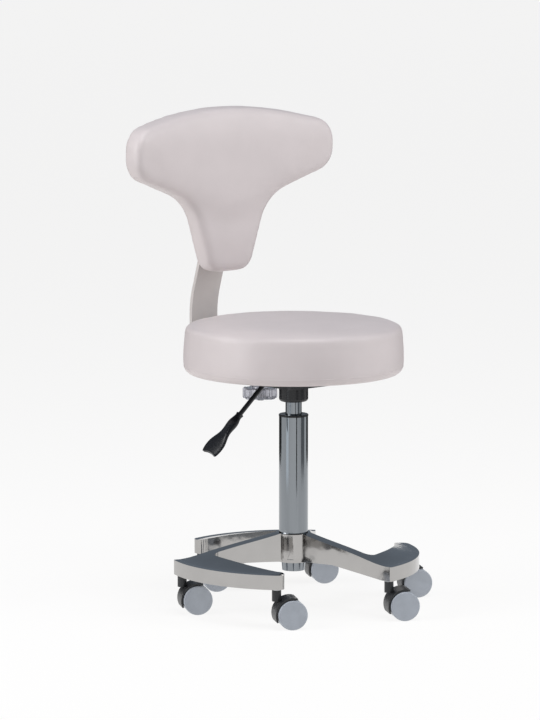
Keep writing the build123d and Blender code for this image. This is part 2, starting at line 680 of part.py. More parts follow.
def curved_slab(front, rear):
    """Plan of a slab bent about the sitter's back, between two Y values on its centre line."""
    with BuildSketch() as band:
        with Locations((0, PAD_CENTRE_Y)):
            Circle(rear - PAD_CENTRE_Y)
            Circle(front - PAD_CENTRE_Y, mode=Mode.SUBTRACT)
        with Locations((0, PAD_Y - 40)):
            Rectangle(2 * 260, 200, mode=Mode.INTERSECT)
    return band.sketch


pad_plan = curved_slab(PAD_FRONT, PAD_REAR)
board_plan = curved_slab(BACK_BOARD_FRONT, SHELL_FRONT)
shell_plan = curved_slab(SHELL_FRONT, PAD_REAR)
pad_view = back_outline(0)
board_view = back_outline(BOARD_INSET)
shell_view = back_outline(SHELL_INSET)
BAND_LOW = PAD_BOTTOM - 10
BAND_HEIGHT = PAD_TOP - PAD_BOTTOM + 20

SLEEVE_X = 41.0
SLEEVE_MID = (SLEEVE_BOTTOM + SLEEVE_TOP) / 2
BACK_SCREW_SPOTS = [(x, SLEEVE_MID + z) for x in (-SLEEVE_X, SLEEVE_X) for z in (-27, 27)]
BACK_SCREW_R = 2.5
BACK_SCREW_DEPTH = 9.0


def back_screw_locations(y):
    """Places on the screws' axes at a Y value, with the local Z axis along -Y."""
    return [Location((x, y, z), (90, 0, 0)) for x, z in BACK_SCREW_SPOTS]


def bent_panel(plan, view):
    """A panel with the given bent plan and front view."""
    with BuildPart() as panel:
        with BuildSketch(Plane.XY.offset(BAND_LOW)):
            add(plan)
        extrude(amount=BAND_HEIGHT)
        with BuildSketch(FRONT_VIEW):
            add(view)
        extrude(amount=400, both=True, mode=Mode.INTERSECT)
    return panel.part


board_blank = bent_panel(board_plan, board_view)
shell_blank = bent_panel(shell_plan, shell_view)
pad_blank = bent_panel(pad_plan, pad_view)

with BuildPart() as back_board:
    add(board_blank)
    with Locations(*back_screw_locations(SHELL_FRONT)):
        Cylinder(BACK_SCREW_R + SEAT_FIT, 2 * (BACK_SCREW_DEPTH - SHELL_THICK), mode=Mode.SUBTRACT)
save(back_board, "back_board")

with BuildPart() as back_shell:
    add(shell_blank)
    with Locations(*back_screw_locations(SHELL_FRONT)):
        Cylinder(BACK_SCREW_R + 0.3, 10, mode=Mode.SUBTRACT)
save(back_shell, "back_shell")

with BuildPart() as back_cushion:
    add(pad_blank)
    fillet(back_cushion.faces().sort_by(Axis.Y)[0].edges(), radius=PAD_ROUND)
    fillet(back_cushion.faces().sort_by(Axis.Y)[-1].edges(), radius=PAD_REAR_ROUND)
    add(board_blank, mode=Mode.SUBTRACT)
    add(shell_blank, mode=Mode.SUBTRACT)
save(back_cushion, "back_cushion")


# ---------------------------------------------------------------- height clamp behind the pad

sleeve_half_y = BAR_THICK / 2 + GUIDE_GAP
sleeve_rear = BAR_HIGH_Y + sleeve_half_y + GUIDE_WALL
sleeve_front = BAR_HIGH_Y - sleeve_half_y - GUIDE_WALL
BACK_FLANGE_X = 50.0

with BuildPart() as height_bracket:
    with Locations((0, (sleeve_front + sleeve_rear) / 2, SLEEVE_MID)):
        Box(2 * (guide_half + GUIDE_WALL), sleeve_rear - sleeve_front, SLEEVE_TOP - SLEEVE_BOTTOM)
    with Locations((0, (PAD_REAR + sleeve_front) / 2, SLEEVE_MID)):
        Box(2 * BACK_FLANGE_X, sleeve_front - PAD_REAR, SLEEVE_TOP - SLEEVE_BOTTOM)
    fillet(height_bracket.edges().filter_by(Axis.Y).group_by(Axis.X)[0], radius=8)
    fillet(height_bracket.edges().filter_by(Axis.Y).group_by(Axis.X)[-1], radius=8)
    with Locations((0, BAR_HIGH_Y, SLEEVE_MID)):
        Box(2 * guide_half, 2 * sleeve_half_y, SLEEVE_TOP - SLEEVE_BOTTOM, mode=Mode.SUBTRACT)
    with Locations(Location((0, sleeve_rear, SLEEVE_MID), (-90, 0, 0))):
        Cylinder(BOSS_R, BOSS_HEIGHT, align=(Align.CENTER, Align.CENTER, Align.MIN))
        Cylinder(STUD_R + RUN, BOSS_HEIGHT, align=(Align.CENTER, Align.CENTER, Align.MIN),
                 mode=Mode.SUBTRACT)
    with Locations(Location((0, BAR_HIGH_Y + sleeve_half_y, SLEEVE_MID), (-90, 0, 0))):
        Cylinder(CLAMP_R + RUN, CLAMP_DEPTH, align=(Align.CENTER, Align.CENTER, Align.MIN),
                 mode=Mode.SUBTRACT)
    with Locations(*back_screw_locations((PAD_REAR + sleeve_front) / 2)):
        Cylinder(BACK_SCREW_R + 0.3, 20, mode=Mode.SUBTRACT)
save(height_bracket, "height_bracket")

with BuildPart() as back_screws:
    with Locations(*back_screw_locations(sleeve_front)):
        Cylinder(4.5, 2.8, align=(Align.CENTER, Align.CENTER, Align.MAX))
        Cylinder(BACK_SCREW_R, sleeve_front - PAD_REAR + BACK_SCREW_DEPTH,
                 align=(Align.CENTER, Align.CENTER, Align.MIN))
    with Locations(*back_screw_locations(sleeve_front + 2.8)):
        Box(5.2, 1.0, 2.4, mode=Mode.SUBTRACT)
        Box(1.0, 5.2, 2.4, mode=Mode.SUBTRACT)
save(back_screws, "back_screws")

SMALL_KNOB_R = 22.0
SMALL_SCALLOP = 6.5
SMALL_KNOB_LOBES = 6
SMALL_KNOB_HEIGHT = 14.0
SMALL_NECK = 5.0
bar_rear = BAR_HIGH_Y + BAR_THICK / 2
height_clamp_rear = bar_rear + GUIDE_GAP + 2.4
neck_y = sleeve_rear + BOSS_HEIGHT + 3.2

with BuildPart() as height_clamp_pad:
    with Locations(Location((0, bar_rear + 0.05, SLEEVE_MID), (-90, 0, 0))):
        Cylinder(CLAMP_R, height_clamp_rear - bar_rear - 0.05, align=(Align.CENTER, Align.CENTER, Align.MIN))
save(height_clamp_pad, "height_clamp_pad")

with BuildPart() as height_stud:
    with Locations(Location((0, height_clamp_rear, SLEEVE_MID), (-90, 0, 0))):
        Cylinder(STUD_R, neck_y + SMALL_NECK + SMALL_KNOB_HEIGHT - 3 - height_clamp_rear,
                 align=(Align.CENTER, Align.CENTER, Align.MIN))
save(height_stud, "height_stud")

height_knob_outline = lobed_knob(SMALL_KNOB_R, SMALL_SCALLOP, SMALL_KNOB_LOBES)
REAR_VIEW = Plane(origin=(0, neck_y + SMALL_NECK, SLEEVE_MID), x_dir=(-1, 0, 0), z_dir=(0, 1, 0))

with BuildPart() as height_knob:
    with BuildSketch(REAR_VIEW):
        add(height_knob_outline)
    extrude(amount=SMALL_KNOB_HEIGHT)
    fillet(height_knob.edges().filter_by(Plane.XZ), radius=2.0)
    with Locations(Location((0, neck_y, SLEEVE_MID), (-90, 0, 0))):
        Cylinder(11.0, SMALL_NECK, align=(Align.CENTER, Align.CENTER, Align.MIN))
        Cylinder(STUD_R + SEAT_FIT, SMALL_NECK + SMALL_KNOB_HEIGHT - 3,
                 align=(Align.CENTER, Align.CENTER, Align.MIN), mode=Mode.SUBTRACT)
save(height_knob, "height_knob")


# ---------------------------------------------------------------- casters

BUSH_DEPTH = 20.0
STEM_COLLAR = 1.6
STEM_COLLAR_R = 7.6
STEM_BASE = 48.0

with BuildPart() as caster_bushes:
    with Locations((0, 0, ARM_FLOOR)):
        with PolarLocations(CASTER_RING_R, CASTER_COUNT, start_angle=ELBOW_ANGLE):
            Cylinder(BUSH_R, BUSH_DEPTH, align=(Align.CENTER, Align.CENTER, Align.MIN))
            Cylinder(STEM_R + SEAT_FIT, BUSH_DEPTH - 1.0, align=(Align.CENTER, Align.CENTER, Align.MIN),
                     mode=Mode.SUBTRACT)
save(caster_bushes, "caster_bushes")

with BuildPart() as caster_stems:
    with Locations((0, 0, ARM_FLOOR)):
        with PolarLocations(CASTER_RING_R, CASTER_COUNT, start_angle=ELBOW_ANGLE):
            Cylinder(STEM_R, BUSH_DEPTH - 1.5, align=(Align.CENTER, Align.CENTER, Align.MIN))
            Cylinder(STEM_COLLAR_R, STEM_COLLAR, align=(Align.CENTER, Align.CENTER, Align.MAX))
            Cylinder(STEM_PIN_R, ARM_FLOOR - STEM_BASE, align=(Align.CENTER, Align.CENTER, Align.MAX))
save(caster_stems, "caster_stems")


def caster_frame(index):
    """Plane at a caster's swivel axis on the floor, with X along its trail and Y along its axle."""
    x, y = polar(CASTER_RING_R, ELBOW_ANGLE + index * 360.0 / CASTER_COUNT)
    return Plane(origin=(x, y, 0), x_dir=(*polar(1, TRAIL_ANGLE), 0), z_dir=(0, 0, 1))


def caster_side(index, offset_y):
    """Upright plane through a caster, facing along its axle, with X along the trail and Y up."""
    frame = caster_frame(index)
    side = -frame.y_dir
    return Plane(origin=frame.origin - side * offset_y, x_dir=frame.x_dir, z_dir=side)


FENDER_R = WHEEL_R + 4.2
FENDER_INNER_R = WHEEL_R + 1.4
FENDER_WIDTH = 2 * WHEEL_WIDTH + WHEEL_GAP
WEB_WIDTH = WHEEL_GAP - 1.6


def fender_point(radius, angle):
    """A point about the wheel's centre in the caster's side view."""
    x, y = polar(radius, angle)
    return (TRAIL + x, WHEEL_R + y)


for index in range(CASTER_COUNT):
    with BuildPart() as housing:
        # central web between the twin wheels
        with BuildSketch(caster_side(index, 0)):
            with BuildLine():
                Line(fender_point(FENDER_R, 205), fender_point(6.5, 235))
                ThreePointArc(fender_point(6.5, 235), fender_point(6.5, 325), fender_point(6.5, 55))
                Line(fender_point(6.5, 55), fender_point(FENDER_R, 72))
                ThreePointArc(fender_point(FENDER_R, 72), fender_point(FENDER_R, 135),
                              fender_point(FENDER_R, 205))
            make_face()
        extrude(amount=WEB_WIDTH / 2, both=True)
        # fender over the wheels on the stem's side
        with BuildSketch(caster_side(index, 0)):
            with BuildLine():
                ThreePointArc(fender_point(FENDER_R, 72), fender_point(FENDER_R, 135),
                              fender_point(FENDER_R, 205))
                Line(fender_point(FENDER_R, 205), fender_point(FENDER_INNER_R, 205))
                ThreePointArc(fender_point(FENDER_INNER_R, 205), fender_point(FENDER_INNER_R, 135),
                              fender_point(FENDER_INNER_R, 72))
                Line(fender_point(FENDER_INNER_R, 72), fender_point(FENDER_R, 72))
            make_face()
        extrude(amount=FENDER_WIDTH / 2 - 3.0, both=True)
        # column that holds the stem's pin
        with BuildSketch(caster_frame(index).offset(STEM_BASE - 1)):
            Circle(HOUSING_STEM_R)
        extrude(amount=HOUSING_TOP - STEM_BASE + 1)
        with BuildSketch(caster_frame(index).offset(STEM_BASE - 1)):
            Circle(STEM_PIN_R + RUN)
        extrude(amount=HOUSING_TOP, mode=Mode.SUBTRACT)
        with BuildSketch(caster_side(index, 0)):
            with Locations(fender_point(0, 0)):
                Circle(AXLE_R + RUN)
        extrude(amount=FENDER_WIDTH, both=True, mode=Mode.SUBTRACT)
    save(housing, f"caster_{index + 1}_housing")

    with BuildPart() as axle:
        with BuildSketch(caster_side(index, 0)):
            with Locations(fender_point(0, 0)):
                Circle(AXLE_R)
        extrude(amount=WHEEL_GAP / 2 + WHEEL_WIDTH - 3, both=True)
    save(axle, f"caster_{index + 1}_axle")

    with BuildPart() as wheels:
        for side in (-1, 1):
            inner_face = side * WHEEL_GAP / 2
            with BuildSketch(caster_side(index, inner_face)):
                with Locations(fender_point(0, 0)):
                    Circle(WHEEL_R)
            extrude(amount=-side * WHEEL_WIDTH)
        fillet(wheels.edges().filter_by(GeomType.CIRCLE), radius=2.0)
        with BuildSketch(caster_side(index, 0)):
            with Locations(fender_point(0, 0)):
                Circle(AXLE_R + SEAT_FIT)
        extrude(amount=WHEEL_GAP / 2 + WHEEL_WIDTH - 3, both=True, mode=Mode.SUBTRACT)
    save(wheels, f"caster_{index + 1}_wheels")
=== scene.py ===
import json
import math

import bmesh
import bpy
import numpy as np
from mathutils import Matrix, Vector
from mathutils.bvhtree import BVHTree


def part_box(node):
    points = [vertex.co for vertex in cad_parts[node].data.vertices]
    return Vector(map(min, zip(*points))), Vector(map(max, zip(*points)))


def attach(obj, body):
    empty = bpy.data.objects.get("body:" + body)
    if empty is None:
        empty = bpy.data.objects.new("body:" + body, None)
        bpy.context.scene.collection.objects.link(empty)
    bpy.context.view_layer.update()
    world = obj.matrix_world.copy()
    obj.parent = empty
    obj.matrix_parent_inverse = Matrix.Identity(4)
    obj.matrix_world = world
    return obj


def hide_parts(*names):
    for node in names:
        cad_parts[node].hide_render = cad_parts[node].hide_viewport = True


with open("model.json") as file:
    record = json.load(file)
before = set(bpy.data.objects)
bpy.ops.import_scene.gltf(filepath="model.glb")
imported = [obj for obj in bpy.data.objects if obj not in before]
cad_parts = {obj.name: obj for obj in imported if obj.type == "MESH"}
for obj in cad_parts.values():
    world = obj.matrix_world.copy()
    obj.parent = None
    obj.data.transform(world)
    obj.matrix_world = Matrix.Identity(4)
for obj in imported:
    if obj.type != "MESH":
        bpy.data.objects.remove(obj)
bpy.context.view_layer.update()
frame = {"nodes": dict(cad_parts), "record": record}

nodes = frame["nodes"]
scene = bpy.context.scene

MM = 0.001


# ---------------------------------------------------------------- camera

CAMERA_AZIMUTH = -41.1           # degrees round the stool from its front
CAMERA_DISTANCE = 6.5            # metres, level, from the column's axis
CAMERA_HEIGHT = 1.315
CAMERA_PITCH = 7.8               # degrees down
CAMERA_TURN = 0.355              # degrees that set the column right of the picture's middle
CAMERA_LENS = 192.4


def make_camera():
    """The photographer's view of the stool."""
    data = bpy.data.cameras.new("camera")
    data.lens = CAMERA_LENS
    data.clip_end = 60
    camera = bpy.data.objects.new("camera", data)
    azimuth = math.radians(CAMERA_AZIMUTH)
    camera.location = (math.sin(azimuth) * CAMERA_DISTANCE, -math.cos(azimuth) * CAMERA_DISTANCE,
                       CAMERA_HEIGHT)
    camera.rotation_euler = (math.radians(90 - CAMERA_PITCH), 0, azimuth + math.radians(CAMERA_TURN))
    scene.collection.objects.link(camera)
    scene.camera = camera


# ---------------------------------------------------------------- node helpers

class Tree:
    """A material's node tree around one Principled shader."""

    def __init__(self, name, color, roughness, metallic=0.0):
        self.material = bpy.data.materials.new(name)
        self.material.use_nodes = True
        self.nodes = self.material.node_tree.nodes
        self.links = self.material.node_tree.links
        self.shader = self.nodes["Principled BSDF"]
        self.shader.inputs["Base Color"].default_value = (*color, 1)
        self.shader.inputs["Roughness"].default_value = roughness
        self.shader.inputs["Metallic"].default_value = metallic
        self.color = color
        self.roughness = roughness
        self.coords = self.nodes.new("ShaderNodeTexCoord")
        self.height = None

    def set(self, **values):
        """Constant values on the shader's own sockets; an underscore stands for a space."""
        for key, value in values.items():
            self.shader.inputs[key.replace("_", " ")].default_value = value

    def noise(self, scale, detail, rough=0.55, stretch=(1, 1, 1)):
        """A noise value from 0 to 1, its scale in features a metre."""
        mapping = self.nodes.new("ShaderNodeMapping")
        mapping.inputs["Scale"].default_value = stretch
        self.links.new(self.coords.outputs["Object"], mapping.inputs["Vector"])
        texture = self.nodes.new("ShaderNodeTexNoise")
        texture.inputs["Scale"].default_value = scale
        texture.inputs["Detail"].default_value = detail
        texture.inputs["Roughness"].default_value = rough
        self.links.new(mapping.outputs["Vector"], texture.inputs["Vector"])
        return texture.outputs["Fac"]

    def cells(self, scale, feature="DISTANCE_TO_EDGE"):
        """A cell pattern such as leather grain, its scale in cells a metre."""
        texture = self.nodes.new("ShaderNodeTexVoronoi")
        texture.feature = feature
        texture.inputs["Scale"].default_value = scale
        self.links.new(self.coords.outputs["Object"], texture.inputs["Vector"])
        return texture.outputs["Distance"]

    def spread(self, value, low, high, from_low=0.3, from_high=0.7):
        """A value stretched to run from low to high; noise seldom leaves 0.3 to 0.7."""
        node = self.nodes.new("ShaderNodeMapRange")
        node.inputs["From Min"].default_value = from_low
        node.inputs["From Max"].default_value = from_high
        node.inputs["To Min"].default_value = low
        node.inputs["To Max"].default_value = high
        self.links.new(value, node.inputs["Value"])
        return node.outputs["Result"]

    def mottle(self, value, amount):
        """Base colour that varies by plus or minus amount."""
        ramp = self.nodes.new("ShaderNodeMix")
        ramp.data_type = "RGBA"
        ramp.inputs["A"].default_value = (*(c * (1 - amount) for c in self.color), 1)
        ramp.inputs["B"].default_value = (*(min(1, c * (1 + amount)) for c in self.color), 1)
        self.links.new(self.spread(value, 0, 1), ramp.inputs["Factor"])
        self.links.new(ramp.outputs["Result"], self.shader.inputs["Base Color"])

    def rough(self, value, amount):
        """Roughness that varies by plus or minus amount."""
        low, high = max(0, self.roughness - amount), self.roughness + amount
        self.links.new(self.spread(value, low, high), self.shader.inputs["Roughness"])

    def bump(self, value, depth, strength):
        """Adds a bump of that depth in metres on top of any before it."""
        node = self.nodes.new("ShaderNodeBump")
        node.inputs["Strength"].default_value = strength
        node.inputs["Distance"].default_value = depth
        self.links.new(value, node.inputs["Height"])
        if self.height:
            self.links.new(self.height, node.inputs["Normal"])
        self.height = node.outputs["Normal"]
        self.links.new(self.height, self.shader.inputs["Normal"])


# ---------------------------------------------------------------- materials

def vinyl(name, color):
    """Upholstery vinyl: fine pebble grain over soft unevenness, a slight satin coat."""
    t = Tree(name, color, 0.43)
    t.set(Coat_Weight=0.12, Coat_Roughness=0.3, Specular_IOR_Level=0.45)
    wide = t.noise(14, 2)
    fine = t.noise(900, 2)
    t.mottle(wide, 0.025)
    t.rough(fine, 0.06)
    t.bump(t.noise(30, 2), 0.0012, 0.35)
    t.bump(t.spread(t.cells(1150), 0, 1, 0.0, 0.25), 0.00012, 0.55)
    t.bump(fine, 0.00006, 0.5)
    return t.material


def polished(name, color, roughness, flow, wave):
    """Polished metal: faint polishing streaks and the waviness of a hand finish, wave metres deep."""
    t = Tree(name, color, roughness, 1.0)
    streaks = t.noise(900, 2, 0.6, flow)
    smudge = t.noise(22, 3)
    t.mottle(smudge, 0.035)
    t.rough(smudge, roughness * 0.35)
    t.bump(t.noise(26, 2), wave, 0.5)
    t.bump(streaks, 0.00002, 0.35)
    return t.material


def drawn_tube(name, color):
    """Polished drawn tube, with faint straight draw lines along it and broad painted reflection streaks,
    darker and lighter, along it in its colour.
    """
    t = Tree(name, color, 0.09, 1.0)
    # painted reflection: broad streaks along the tube, darker and lighter in its colour
    t.mottle(t.noise(55, 2, 0.5, (1, 1, 0.01)), 0.12)
    t.rough(t.noise(22, 3), 0.03)
    t.bump(t.noise(48, 1, 0.5, (1, 1, 0.004)), 0.0016, 0.8)
    t.bump(t.noise(900, 2, 0.5, (1, 1, 0.02)), 0.00002, 0.3)
    return t.material


def plated(name, color):
    """Zinc-plated steel."""
    t = Tree(name, color, 0.34, 1.0)
    t.mottle(t.noise(160, 3), 0.07)
    t.rough(t.noise(500, 2), 0.08)
    t.bump(t.noise(700, 2), 0.00004, 0.4)
    return t.material


def moulded(name, color, roughness, grain=900, depth=0.00006):
    """Moulded plastic with a fine texture."""
    t = Tree(name, color, roughness)
    t.mottle(t.noise(60, 3), 0.06)
    t.rough(t.noise(240, 2), roughness * 0.18)
    t.bump(t.noise(grain, 2), depth, 0.6)
    t.bump(t.noise(45, 2), 0.0003, 0.25)
    return t.material


def powder_coat(name, color, roughness):
    """Powder-coated steel with a faint orange peel."""
    t = Tree(name, color, roughness)
    t.set(Coat_Weight=0.25, Coat_Roughness=0.22)
    t.mottle(t.noise(40, 3), 0.02)
    t.rough(t.noise(300, 2), 0.05)
    t.bump(t.noise(420, 1), 0.00012, 0.35)
    return t.material


def rubber(name, color):
    """Dull rubber."""
    t = Tree(name, color, 0.75)
    t.mottle(t.noise(120, 3), 0.12)
    t.bump(t.noise(1200, 2), 0.00008, 0.6)
    return t.material


def plywood(name, color):
    """Birch ply: long grain on the faces."""
    t = Tree(name, color, 0.6)
    grain = t.noise(90, 4, 0.6, (1, 0.06, 1))
    t.mottle(grain, 0.28)
    t.bump(grain, 0.0002, 0.4)
    t.rough(t.noise(200, 2), 0.08)
    return t.material


def woven(name, color):
    """Black non-woven dust cloth."""
    t = Tree(name, color, 0.9)
    t.mottle(t.noise(700, 3), 0.3)
    t.bump(t.cells(900, "F1"), 0.0002, 0.7)
    return t.material


def clear_plastic(name, color):
    """Smoky translucent moulding of the hand knobs."""
    t = Tree(name, color, 0.16)
    t.set(Transmission_Weight=0.72, IOR=1.49, Coat_Weight=0.5, Coat_Roughness=0.08)
    t.mottle(t.noise(70, 3), 0.08)
    t.rough(t.noise(160, 2), 0.04)
    t.bump(t.noise(90, 2), 0.0004, 0.4)
    return t.material


SLOT_MATERIALS = {
    "polished_aluminium": polished("aluminium_polished", (0.44, 0.43, 0.42), 0.1, (1, 1, 0.15), 0.0011),
    "polished_steel": drawn_tube("steel_polished", (0.27, 0.29, 0.31)),
    "zinc_steel": plated("steel_zinc", (0.5, 0.51, 0.53)),
    "black_plastic": moulded("plastic_black", (0.007, 0.007, 0.009), 0.26, 700, 0.00002),
    "black_steel": powder_coat("steel_black", (0.014, 0.014, 0.016), 0.38),
    "black_rubber": rubber("rubber_black", (0.018, 0.018, 0.018)),
    "dust_cloth": woven("dust_cloth", (0.02, 0.02, 0.022)),
    "plywood": plywood("plywood_birch", (0.5, 0.36, 0.22)),
    "vinyl": vinyl("vinyl_mauve_grey", (0.61, 0.547, 0.542)),
    "grey_plastic": moulded("shell_grey", (0.5, 0.46, 0.46), 0.45, 700, 0.00012),
    "clear_knob": clear_plastic("knob_clear", (0.62, 0.62, 0.68)),
    "grey_paint": powder_coat("paint_grey", (0.56, 0.52, 0.5), 0.36),
    "brass": plated("brass", (0.6, 0.42, 0.16)),
    "caster_black": moulded("caster_black", (0.012, 0.013, 0.015), 0.38),
    "caster_grey": moulded("caster_grey", (0.36, 0.385, 0.425), 0.36, 800, 0.00008),
}


def dress_cad():
    """Gives each CAD node the material of its slot."""
    slots = {s["node"]: s["material_slot"] for s in frame["record"]["subparts"]}
    for name, obj in nodes.items():
        obj.data.materials.clear()
        obj.data.materials.append(SLOT_MATERIALS[slots[name]])


# ---------------------------------------------------------------- soft pieces

VOXEL = 5 * MM
CLOTH_FRAMES = 20
CLOTH_PRESSURE = 4.0
EVEN_ROUNDS = 30                 # how far the cloth's moves are averaged over its surface


def merged_mesh(name, sources):
    """One new object from copies of several CAD nodes' meshes."""
    bm = bmesh.new()
    for source in sources:
        bm.from_mesh(nodes[source].data)
    mesh = bpy.data.meshes.new(name)
    bm.to_mesh(mesh)
    bm.free()
    obj = bpy.data.objects.new(name, mesh)
    scene.collection.objects.link(obj)
    return obj


def bake_modifiers(obj):
    """Replaces an object's mesh by what its modifiers make of it."""
    bpy.context.view_layer.update()
    evaluated = obj.evaluated_get(bpy.context.evaluated_depsgraph_get())
    mesh = bpy.data.meshes.new_from_object(evaluated)
    obj.modifiers.clear()
    obj.data = mesh


def vertex_array(mesh):
    """The vertices' places as rows of X, Y and Z."""
    co = np.empty(len(mesh.vertices) * 3)
    mesh.vertices.foreach_get("co", co)
    return co.reshape(-1, 3)


def set_vertices(obj, co):
    """Puts the vertices at the places in the rows of an array."""
    obj.data.vertices.foreach_set("co", co.ravel())
    obj.data.update()


def remesh(obj):
    """An even mesh over the whole outside of the object."""
    modifier = obj.modifiers.new("remesh", "REMESH")
    modifier.mode = "VOXEL"
    modifier.voxel_size = VOXEL
    bake_modifiers(obj)


def smooth(obj, repeat):
    """Rounds the mesh's steps and hard edges."""
    modifier = obj.modifiers.new("smooth", "SMOOTH")
    modifier.factor = 0.5
    modifier.iterations = repeat
    bake_modifiers(obj)


def even_out(obj, field):
    """Averages a value held at each vertex with the values of its neighbours."""
    edges = np.empty(len(obj.data.edges) * 2, dtype=np.int32)
    obj.data.edges.foreach_get("vertices", edges)
    first, second = edges.reshape(-1, 2).T
    count = np.bincount(edges, minlength=len(field))[:, None]
    for _ in range(EVEN_ROUNDS):
        total = np.zeros_like(field)
        for axis in range(field.shape[1]):
            total[:, axis] = (np.bincount(first, field[second, axis], len(field))
                              + np.bincount(second, field[first, axis], len(field)))
        field = (field + total / count) / 2
    return field


def inflate(obj, held, cap):
    """Swells a closed mesh like stuffed cover cloth, with held vertices fixed and each move capped."""
    rest = vertex_array(obj.data)
    group = obj.vertex_groups.new(name="held")
    group.add([int(i) for i in np.nonzero(held)[0]], 1.0, "REPLACE")
    cloth = obj.modifiers.new("cloth", "CLOTH")
    settings = cloth.settings
    settings.quality = 6
    settings.mass = 0.3
    settings.tension_stiffness = 25
    settings.compression_stiffness = 25
    settings.shear_stiffness = 12
    settings.bending_stiffness = 1.5
    settings.use_pressure = True
    settings.uniform_pressure_force = CLOTH_PRESSURE
    settings.vertex_group_mass = "held"
    settings.effector_weights.gravity = 0
    cloth.collision_settings.use_collision = False
    cloth.point_cache.frame_start = 1
    cloth.point_cache.frame_end = CLOTH_FRAMES
    for step in range(1, CLOTH_FRAMES + 1):
        scene.frame_set(step)
    bake_modifiers(obj)
    obj.vertex_groups.clear()
    scene.frame_set(1)
    moved = vertex_array(obj.data) - rest
    length = np.linalg.norm(moved, axis=1, keepdims=True)
    moved *= np.minimum(1, cap / np.maximum(length, 1e-9))
    set_vertices(obj, rest + even_out(obj, moved))


def subdivide(obj):
    """Splits every face once and shades the mesh smooth."""
    modifier = obj.modifiers.new("subdivision", "SUBSURF")
    modifier.levels = 1
    modifier.render_levels = 1
    bake_modifiers(obj)
    for polygon in obj.data.polygons:
        polygon.use_smooth = True


def fit_box(obj, low, high):
    """Stretches a mesh along each axis so that it fills the box."""
    co = vertex_array(obj.data)
    mesh_low, mesh_high = co.min(0), co.max(0)
    low, high = np.array(low), np.array(high)
    set_vertices(obj, low + (co - mesh_low) * (high - low) / (mesh_high - mesh_low))


def facing(obj, axis, least):
    """Which vertices face along an axis at least that much."""
    normals = np.array([v.normal for v in obj.data.vertices])
    return normals @ np.array(axis) > least


def settle_below(obj, node, axis, depth):
    """Moves vertices that cover a flush CAD plate to that depth under its face, so that the plate shows."""
    plate = nodes[node].data
    tree = BVHTree.FromPolygons([v.co for v in plate.vertices], [list(p.vertices) for p in plate.polygons])
    axis = Vector(axis)
    for vertex in obj.data.vertices:
        if vertex.normal.dot(axis) < 0.3:
            continue
        place = tree.ray_cast(vertex.co + axis * 50 * MM, -axis)[0]
        if place is None:
            continue
        over = (vertex.co - place).dot(axis) + depth
        if 0 < over < 20 * MM:
            vertex.co -= axis * over
    obj.data.update()


def seam_bead(name, cushion, points, radius, body):
    """A closed corded vinyl edge that lies on a cushion's surface near the points."""
    tree = BVHTree.FromPolygons([v.co for v in cushion.data.vertices],
                                [list(p.vertices) for p in cushion.data.polygons])
    curve = bpy.data.curves.new(name, "CURVE")
    curve.dimensions = "3D"
    curve.bevel_depth = radius
    curve.bevel_resolution = 3
    spline = curve.splines.new("NURBS")
    spline.points.add(len(points) - 1)
    for knot, point in zip(spline.points, points):
        place, normal = tree.find_nearest(Vector(point))[:2]
        knot.co = (*(place - normal * radius * 0.45), 1)
    spline.order_u = 4
    spline.use_cyclic_u = True
    curve.materials.append(SLOT_MATERIALS["vinyl"])
    bead = bpy.data.objects.new(name, curve)
    scene.collection.objects.link(bead)
    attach(bead, body)


def make_seat():
    """The round seat: a boxed foam disc under tight vinyl."""
    low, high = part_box("seat_cushion")
    seat = merged_mesh("seat_upholstery", ["seat_cushion", "seat_board", "dust_cover"])
    remesh(seat)
    smooth(seat, 4)
    inflate(seat, vertex_array(seat.data)[:, 2] < low[2] + 6 * MM, 3 * MM)
    fit_box(seat, low, high)
    subdivide(seat)
    settle_below(seat, "dust_cover", (0, 0, -1), 0.5 * MM)
    seat.data.materials.clear()
    seat.data.materials.append(SLOT_MATERIALS["vinyl"])
    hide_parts("seat_cushion")
    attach(seat, "carrier")
    circle = [(high[0] * math.cos(a), high[0] * math.sin(a), low[2] + 13 * MM)
              for a in np.linspace(0, 2 * math.pi, 120, endpoint=False)]
    seam_bead("seat_seam", seat, circle, 0.9 * MM, "carrier")


def make_back():
    """The T-shaped back pad: crowned foam under vinyl, flat against its rear shell."""
    low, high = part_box("back_cushion")
    pad = merged_mesh("back_upholstery", ["back_cushion", "back_board", "back_shell"])
    remesh(pad)
    smooth(pad, 12)
    inflate(pad, facing(pad, (0, 1, 0), 0.8), 5 * MM)
    fit_box(pad, low, high)
    subdivide(pad)
    settle_below(pad, "back_shell", (0, 1, 0), 0.8 * MM)
    pad.data.materials.clear()
    pad.data.materials.append(SLOT_MATERIALS["vinyl"])
    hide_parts("back_cushion")
    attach(pad, "backrest")


# ---------------------------------------------------------------- stage

LIGHT_TARGET = Vector((0, 0, 0.45))
CARD_HEIGHT = 1.2
FLOOR_SEGMENTS = 64
FLOOR_RINGS = [(2.0, 0.0), (5.0, 0.0), (12.0, 0.0), (15.0, 0.15), (16.5, 0.6), (17.0, 1.6)]  # radius, Z
# painted light: the floor's glow, bright in a pool along the camera's line and dimmer grey to either side,
# which the metal reflects
LIGHT_POOL_GLOW = (0.87, 0.865, 0.86, 1)
GLOW_ASIDE_DIMMED = (0.5, 0.5, 0.505, 1)
LIGHT_POOL_HALF_WIDTH = 0.9          # metres to each side of the camera's line
LIGHT_POOL_FADED_AT = 3.6
LIGHT_POOL_WIDENS = 0.14             # metres more to each side for each metre behind the stool


def area_light(name, side, elevation, distance, size, power):
    """A soft box aimed at the stool; side is in degrees round from the camera's direction."""
    data = bpy.data.lights.new(name, "AREA")
    data.shape = "RECTANGLE"
    data.size, data.size_y = size
    data.energy = power
    light = bpy.data.objects.new(name, data)
    a, e = math.radians(CAMERA_AZIMUTH + side), math.radians(elevation)
    back = Vector((math.sin(a) * math.cos(e), -math.cos(a) * math.cos(e), math.sin(e)))
    light.location = LIGHT_TARGET + back * distance
    light.rotation_euler = (-back).to_track_quat("-Z", "Y").to_euler()
    scene.collection.objects.link(light)


